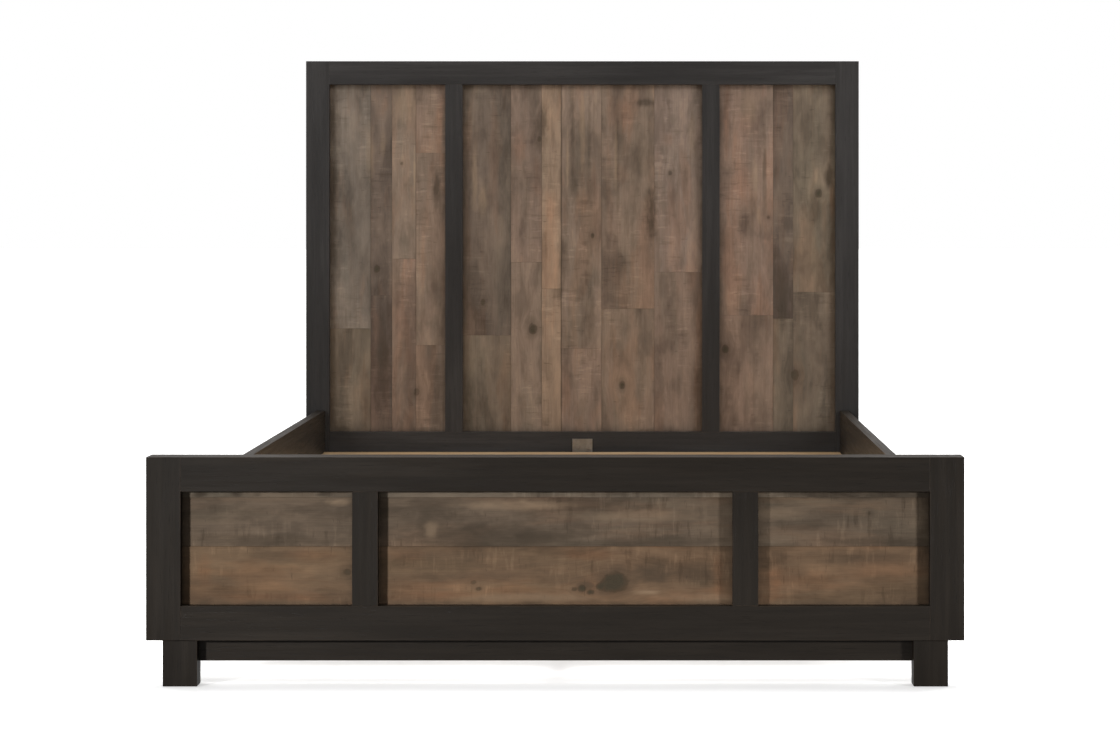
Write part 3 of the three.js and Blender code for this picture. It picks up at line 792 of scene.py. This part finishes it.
def build_foot_panels():
    for place in ("left", "center", "right"):
        node = "footboard_panel_" + place
        low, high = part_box(node)
        tongue = (high.z - low.z - sum(row[0] for row in FOOT_ROWS) * MM) / 2
        opening = inside(low, high, tongue)
        z = low.z + tongue
        for number, (width, tone) in enumerate(FOOT_ROWS, 1):
            bottom = low.z if number == 1 else z + SEAM
            z += width * MM
            top = high.z if number == len(FOOT_ROWS) else z - SEAM
            name = f"footboard_plank_{place}_{number}"
            rect = (low.x, high.x, bottom, top)
            depth = (low.y + STEPS[number - 1] * MM, high.y)
            seed = FOOT_SEED + number * SEED_STEP
            piece = board(name, node, rect, depth, False, tone, seed, FOOT_SPOTS, opening)
            piece["sawn"] = FOOT_SAWN


# ---- new pieces


def bridge(shape, rings, ends=False):
    """Faces from each ring of points to the next, and over the ends if asked. A ring may be one point."""
    for a, b in zip(rings, rings[1:]):
        for i in range(max(len(a), len(b))):
            corners = [a[i % len(a)], a[(i + 1) % len(a)], b[(i + 1) % len(b)], b[i % len(b)]]
            shape.faces.new(list(dict.fromkeys(corners)))
    if ends:
        shape.faces.new(rings[0][::-1])
        shape.faces.new(rings[-1])


def ring_of(shape, center, radius, heights):
    """Points round an upright axis, one for each height."""
    ring = []
    for i, z in enumerate(heights):
        angle = 2 * math.pi * i / len(heights)
        x = center[0] + radius * math.cos(angle)
        y = center[1] + radius * math.sin(angle)
        ring.append(shape.verts.new((x, y, z)))
    return ring


def new_piece(name, mesh, body, material):
    mesh.materials.append(material)
    piece = add_object(name, mesh)
    piece["seed"] = 0.37 * len(bpy.data.objects)
    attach(piece, body)
    return piece


def smooth(mesh, angle):
    """Smooth shading, apart from edges sharper than this angle in degrees."""
    for polygon in mesh.polygons:
        polygon.use_smooth = True
    mesh.set_sharp_from_angle(angle=math.radians(angle))
    return mesh


# ---- fasteners

# Radii of the screws' heads, how far some stand proud, and the turn from each to the next in radians.
SLAT_SCREW = 4.2 * MM
CLEAT_SCREW = 4.6 * MM
BRACKET_SCREW = 4.4 * MM
BRACKET_PROUD = 0.4 * MM
BACK_SCREW = 3.2 * MM
BACK_PROUD = 0.5 * MM
SCREW_SIDES = 24
SCREW_TURN = 0.9
# Slats: two screws at each end, in parts of the slat's width, and how far they are sunk.
SLATS = 12
SLAT_SCREW_SHARES = (0.28, 0.72)
SLAT_SCREW_SUNK = 0.2 * MM
CLEAT_SCREWS = 7
CLEAT_MARGIN = 60 * MM
# Beam cradles: half the screws' distance, the plate's thickness, and their heights from the plate's end.
BRACKET_HALF = 14 * MM
BRACKET_PLATE = 3 * MM
FOOT_BRACKET_END = 22 * MM
HEAD_BRACKET_END = 24 * MM
# Back sheets: the screws' distance from the edge, and how many a row and a column have.
BACK_INSET = 12 * MM
BACK_LEVEL = 9
BACK_UPRIGHT = {"headboard": 6, "footboard": 2}


def screw_heads(name, places, normal, radius, raised=0.0):
    """Cross-recessed countersunk screws at these places, their heads facing along normal."""
    shape = bmesh.new()
    turn = Vector((0, 0, 1)).rotation_difference(Vector(normal)).to_matrix().to_4x4()
    for k, place in enumerate(places):
        spin = Matrix.Rotation(SCREW_TURN * k, 4, "Z")
        add_screw(shape, Matrix.Translation(place) @ turn @ spin, radius, raised)
    new_piece(name, mesh_of(shape, name), BED, ZINC)


def add_screw(shape, place, radius, raised):
    """One screw head with its cross recess, and a short shank."""
    arm = 0.58 * radius
    half = 0.13 * radius
    sink = 0.55 * radius
    shank = 0.5 * radius

    def ring(r, z):
        angles = (2 * math.pi * i / SCREW_SIDES for i in range(SCREW_SIDES))
        return [shape.verts.new(place @ Vector((r * math.cos(a), r * math.sin(a), z))) for a in angles]

    top = ring(radius * 0.93, raised)
    rim = ring(radius, raised - 0.12 * radius)
    neck = ring(shank, raised - 1.1 * radius)
    tail = ring(shank, raised - 2.6 * radius)
    bridge(shape, [top, rim, neck, tail])
    shape.faces.new(tail[::-1])
    mouth, floor = [], []
    for q in range(4):
        quarter = Matrix.Rotation(q * math.pi / 2, 4, "Z")
        for x, y in ((arm, 0), (arm, half), (half, half), (half, arm)):
            spot = quarter @ Vector((x, y, raised))
            mouth.append(shape.verts.new(place @ spot))
            inward = 0.8 if x == y else 0.62
            floor.append(shape.verts.new(place @ Vector((spot.x * inward, spot.y * inward, raised - sink))))
    for q in range(4):
        arc = [top[(q * SCREW_SIDES // 4 + i) % SCREW_SIDES] for i in range(SCREW_SIDES // 4 + 1)]
        inner = [mouth[(q * 4 + i) % len(mouth)] for i in (4, 3, 2, 1, 0)]
        shape.faces.new(arc + inner)
    for i in range(len(mouth)):
        j = (i + 1) % len(mouth)
        shape.faces.new((mouth[j], mouth[i], floor[i], floor[j]))
    shape.faces.new(floor)


def build_fasteners():
    for side, inwards in (("left", 1), ("right", -1)):
        low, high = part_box("slat_cleat_" + side)
        middle = (low.x + high.x) / 2
        places = []
        for number in range(1, SLATS + 1):
            slat_low, slat_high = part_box(f"slat_{number:02d}")
            for share in SLAT_SCREW_SHARES:
                y = slat_low.y + (slat_high.y - slat_low.y) * share
                places.append((middle, y, slat_high.z - SLAT_SCREW_SUNK))
        screw_heads("slat_screws_" + side, places, (0, 0, 1), SLAT_SCREW)
        inner = high.x if side == "left" else low.x
        height = (low.z + high.z) / 2
        row = np.linspace(low.y + CLEAT_MARGIN, high.y - CLEAT_MARGIN, CLEAT_SCREWS)
        places = [(inner, y, height) for y in row]
        screw_heads("cleat_screws_" + side, places, (inwards, 0, 0), CLEAT_SCREW)
    for end, inwards in (("foot", 1), ("head", -1)):
        low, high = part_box("beam_bracket_" + end)
        y = low.y + BRACKET_PLATE if end == "foot" else high.y - BRACKET_PLATE
        z = low.z + FOOT_BRACKET_END if end == "foot" else high.z - HEAD_BRACKET_END
        places = [(x, y, z) for x in (-BRACKET_HALF, BRACKET_HALF)]
        screw_heads("bracket_screws_" + end, places, (0, inwards, 0), BRACKET_SCREW, BRACKET_PROUD)
    for board_name, count in BACK_UPRIGHT.items():
        low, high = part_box(board_name + "_back_panel")
        left, right = low.x + BACK_INSET, high.x - BACK_INSET
        bottom, top = low.z + BACK_INSET, high.z - BACK_INSET
        places = [(x, high.y, z) for x in np.linspace(left, right, BACK_LEVEL) for z in (bottom, top)]
        places += [(x, high.y, z) for x in (left, right) for z in np.linspace(bottom, top, count)[1:-1]]
        screw_heads(board_name + "_back_screws", places, (0, 1, 0), BACK_SCREW, BACK_PROUD)


# ---- leveling feet

# The pad's outline: radius in parts of the pad's, and height in mm.
PAD_OUTLINE = [
    (0, 0.5), (0.55, 0.5), (0.6, 0), (0.93, 0), (0.975, 0.35), (1.0, 1.0), (1.0, 3.2), (0.97, 3.9),
    (0.93, 4.2), (0.90, 4.3), (0.88, 4.9), (0.84, 5.7), (0.74, 6.4), (0.62, 6.8), (0.5, 7.0), (0, 7.0),
]
PAD_SIDES = 64
# The nut's radius over its corners, its heights above the floor, and its edges' bevels.
NUT_RADIUS = 7.5 * MM
NUT_BOTTOM = 7 * MM
NUT_TOP = 11 * MM
NUT_CHAMFER = 0.6 * MM
NUT_EASE = 0.25 * MM
NUT_SIDES = 6
# The stud's thread has the pitch that the record's stand_ins give.
STUD_RADIUS = 4.0 * MM
STUD_BOTTOM = 6 * MM
STUD_SIDES = 28
PITCH = 1.25 * MM
THREAD_DEPTH = 0.6 * MM


def build_pad(name, center, radius, floor, body):
    """The foot's round pad, turned from its outline."""
    shape = bmesh.new()
    rings = []
    for share, height in PAD_OUTLINE:
        sides = PAD_SIDES if share else 1
        rings.append(ring_of(shape, center, radius * share, [floor + height * MM] * sides))
    bridge(shape, rings)
    return new_piece(name, smooth(mesh_of(shape, name), 40), body, PLASTIC)


def build_nut(name, center, floor, body):
    """A hexagon nut with chamfered corners."""
    shape = bmesh.new()
    low, high = floor + NUT_BOTTOM, floor + NUT_TOP
    small = NUT_RADIUS - NUT_CHAMFER
    outline = [(small, low), (NUT_RADIUS, low + NUT_CHAMFER), (NUT_RADIUS, high - NUT_CHAMFER), (small, high)]
    rings = [ring_of(shape, center, radius, [z] * NUT_SIDES) for radius, z in outline]
    bridge(shape, rings, ends=True)
    bmesh.ops.recalc_face_normals(shape, faces=shape.faces)
    bmesh.ops.bevel(shape, geom=shape.edges[:], offset=NUT_EASE, segments=2, affect="EDGES")
    return new_piece(name, smooth(mesh_of(shape, name), 25), body, ZINC)


def build_stud(name, center, bottom, top, body):
    """A threaded stud: rings of points that climb with the turn."""
    shape = bmesh.new()
    root = STUD_RADIUS - THREAD_DEPTH
    profile = [(0.0, root), (0.18, root), (0.5, STUD_RADIUS), (0.68, STUD_RADIUS)]
    turns = int((top - bottom) / PITCH) - 1
    climb = [i / STUD_SIDES for i in range(STUD_SIDES)]
    rows = [(root, [bottom] * STUD_SIDES)]
    for turn in range(turns):
        for share, radius in profile:
            rows.append((radius, [bottom + PITCH * (turn + share + rise) for rise in climb]))
    rows.append((root, [bottom + PITCH * (turns + rise) for rise in climb]))
    rows.append((root, [top] * STUD_SIDES))
    rings = [ring_of(shape, center, radius, heights) for radius, heights in rows]
    bridge(shape, rings, ends=True)
    return new_piece(name, smooth(mesh_of(shape, name), 40), body, ZINC)


def build_feet():
    for place in ("foot", "middle", "head"):
        node = "leveling_foot_" + place
        body = "leveler_" + place
        low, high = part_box(node)
        center = ((low.x + high.x) / 2, (low.y + high.y) / 2)
        pad = build_pad(f"leveler_pad_{place}", center, (high.x - low.x) / 2, low.z, body)
        nut = build_nut(f"leveler_nut_{place}", center, low.z, body)
        stud = build_stud(f"leveler_stud_{place}", center, low.z + STUD_BOTTOM, high.z, body)
        for piece in (pad, nut, stud):
            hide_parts(node)


# ---- finishes of the CAD nodes

# The headboard's and footboard's frames have one finish. Their different body colours are painted light:
# lighter on the headboard for the extra light that falls there.
DARK_HEAD_PAINTED_LIGHT = seen(49, 47, 46)
DARK_FOOT = seen(37, 32, 27)


def finish_of(node):
    """The material of a CAD node, and the width of its edges' easing."""
    if "hook_plate" in node or "slot_plate" in node or "bracket" in node:
        return ZINC, 0.3 * MM
    if "glide" in node or "leveling" in node:
        return PLASTIC, 0.8 * MM
    if node.endswith("back_panel"):
        return HARDBOARD, 0.3 * MM
    if node.startswith("slat_cleat") or node == "center_beam":
        return PINE["y"], 1.5 * MM
    if node.startswith("slat_"):
        return PINE["x"], 2.0 * MM
    if node.startswith("center_leg"):
        return PINE["z"], 1.5 * MM
    woods = HEAD_WOOD if node.startswith("headboard") else FOOT_WOOD
    if node.startswith("side_rail"):
        return woods["y"], 1.6 * MM
    level = node.endswith("rail") or node.endswith("apron")
    return woods["x" if level else "z"], 0.6 * MM


# Points this close become one point, so that the bevels meet no seams.
WELD_REACH = 0.01 * MM


def dress_nodes():
    """Materials and eased edges for the CAD nodes, and a place in the grain's noise for each of them."""
    for index, (name, node) in enumerate(sorted(frame["nodes"].items())):
        material, ease = finish_of(name)
        node["seed"] = 1.7 * index
        for place in node.material_slots:
            place.link = "OBJECT"
            place.material = material
        weld = node.modifiers.new("weld", "WELD")
        weld.merge_threshold = WELD_REACH
        bevel = node.modifiers.new("edges", "BEVEL")
        bevel.width = ease
        bevel.segments = 3
        bevel.limit_method = "ANGLE"
        bevel.angle_limit = math.radians(35)


# ---- studio

FLOOR_REACH = 60
# The world's light from all around, and the extra from behind the bed and from above.
WORLD_BASE = 0.08
WORLD_BEHIND = 0.45
WORLD_ABOVE = 0.22
# Fitted to the visible edges of both boards. The shift is in parts of the picture's width.
CAMERA_PLACE = (0.17, -5.443, 0.953)
CAMERA_LENS = 69.23
CAMERA_SHIFT = (-0.07053571, -0.13883929)


def add_lamp(name, kind, energy):
    data = bpy.data.lights.new(name, kind)
    data.energy = energy
    return add_object(name, data)


def shine_from(lamp, direction):
    lamp.rotation_euler = direction.to_track_quat("Z", "Y").to_euler()


def sun(name, azimuth, elevation, spread, energy):
    """A far light. Azimuth 0 shines from the foot end, and grows towards the bed's left."""
    lamp = add_lamp(name, "SUN", energy)
    lamp.data.angle = math.radians(spread)
    a, e = math.radians(azimuth), math.radians(elevation)
    shine_from(lamp, Vector((-math.sin(a) * math.cos(e), -math.cos(a) * math.cos(e), math.sin(e))))


def aim(lamp, place, target):
    lamp.location = place
    shine_from(lamp, Vector(place) - Vector(target))


def softbox(name, place, target, size, energy):
    """A lamp with a wide even face, which the camera doesn't see."""
    lamp = add_lamp(name, "AREA", energy)
    lamp.data.shape = "RECTANGLE"
    lamp.data.size, lamp.data.size_y = size
    lamp.visible_camera = False
    aim(lamp, place, target)


def spot(name, place, target, cone, radius, energy):
    """A lamp whose light fades from the middle of its cone to the edge."""
    lamp = add_lamp(name, "SPOT", energy)
    lamp.data.spot_size = math.radians(cone)
    lamp.data.spot_blend = 1.0
    lamp.data.shadow_soft_size = radius
    aim(lamp, place, target)


def build_world():
    """White to the camera. As a light it is dim in front of the bed, and brighter behind and above."""
    world = bpy.data.worlds.new("studio")
    bpy.context.scene.world = world
    w = Nodes(world)
    parts = w.node("SeparateXYZ")
    w.put(parts.inputs[0], w.node("TexCoord").outputs["Generated"])
    behind = w.span(parts.outputs["Y"], 0.0, 0.4, 0.0, WORLD_BEHIND)
    above = w.span(parts.outputs["Z"], 0.6, 1.0, 0.0, WORLD_ABOVE)
    choose = w.node("MixShader")
    w.put(choose.inputs[0], w.node("LightPath").outputs["Is Camera Ray"])
    lighting = w.plus(w.plus(behind, above), WORLD_BASE)
    for socket, strength in ((1, lighting), (2, 1.0)):
        background = w.node("Background")
        w.put(background.inputs["Color"], WHITE)
        w.put(background.inputs["Strength"], strength)
        w.put(choose.inputs[socket], background.outputs[0])
    w.put(w.node("OutputWorld").inputs["Surface"], choose.outputs[0])


def build_lamps():
    """Light from above, two lamps for the shadows beside the footboard's members, and fill light."""
    sun("top", azimuth=180, elevation=79, spread=21, energy=2.6)
    spot("left_lamp", (-2.85, -3.6, 1.0), (-0.26, -1.07, 0.2), cone=24.8, radius=0.17, energy=483)
    spot("right_lamp", (4.0, -3.6, 1.0), (0.78, -1.07, 0.31), cone=16.2, radius=0.3, energy=570)
    softbox("head_softbox", (0.0, -0.9, 2.8), (0, 1.03, 0.9), size=(2.6, 0.8), energy=23)
    softbox("head_left", (-2.0, -0.2, 1.3), (-0.4, 1.03, 1.0), size=(0.9, 1.0), energy=18)
    softbox("head_right", (2.0, -0.2, 1.3), (0.4, 1.03, 1.0), size=(0.9, 1.0), energy=18)
    softbox("floor_bounce", (0.1, -2.1, 0.06), (0.1, -1.07, 0.12), size=(2.4, 0.4), energy=1.6)


def build_floor():
    """A wide floor that catches shadows and doesn't light the bed."""
    mesh = bpy.data.meshes.new("floor")
    r = FLOOR_REACH
    mesh.from_pydata([(-r, -r, 0), (r, -r, 0), (r, r, 0), (-r, r, 0)], [], [(0, 1, 2, 3)])
    mesh.materials.append(floor_paint())
    floor = add_object("floor", mesh)
    floor.visible_diffuse = False
    floor.visible_glossy = False


def build_camera():
    """Level, and a little right of the bed's middle."""
    data = bpy.data.cameras.new("camera")
    data.sensor_width = 36
    data.lens = CAMERA_LENS
    data.shift_x, data.shift_y = CAMERA_SHIFT
    camera = add_object("camera", data)
    camera.location = CAMERA_PLACE
    camera.rotation_euler = (math.pi / 2, 0, 0)
    bpy.context.scene.camera = camera


# ---- the scene

# The headboard's frame wood is a lighter copy of the footboard's, with painted light.
HEAD_WOOD = {axis: frame_wood("head", axis, DARK_HEAD_PAINTED_LIGHT) for axis in "xyz"}
FOOT_WOOD = {axis: frame_wood("foot", axis, DARK_FOOT) for axis in "xyz"}
RECLAIMED = reclaimed_wood()
PINE = {axis: pine(axis) for axis in "xyz"}
HARDBOARD = hardboard()
ZINC = zinc()
PLASTIC = black_plastic()

build_camera()
build_world()
build_lamps()
build_floor()
dress_nodes()
build_head_panels()
build_foot_panels()
build_fasteners()
build_feet()

view_settings = bpy.context.scene.view_settings
view_settings.view_transform = "Standard"
view_settings.look = "None"
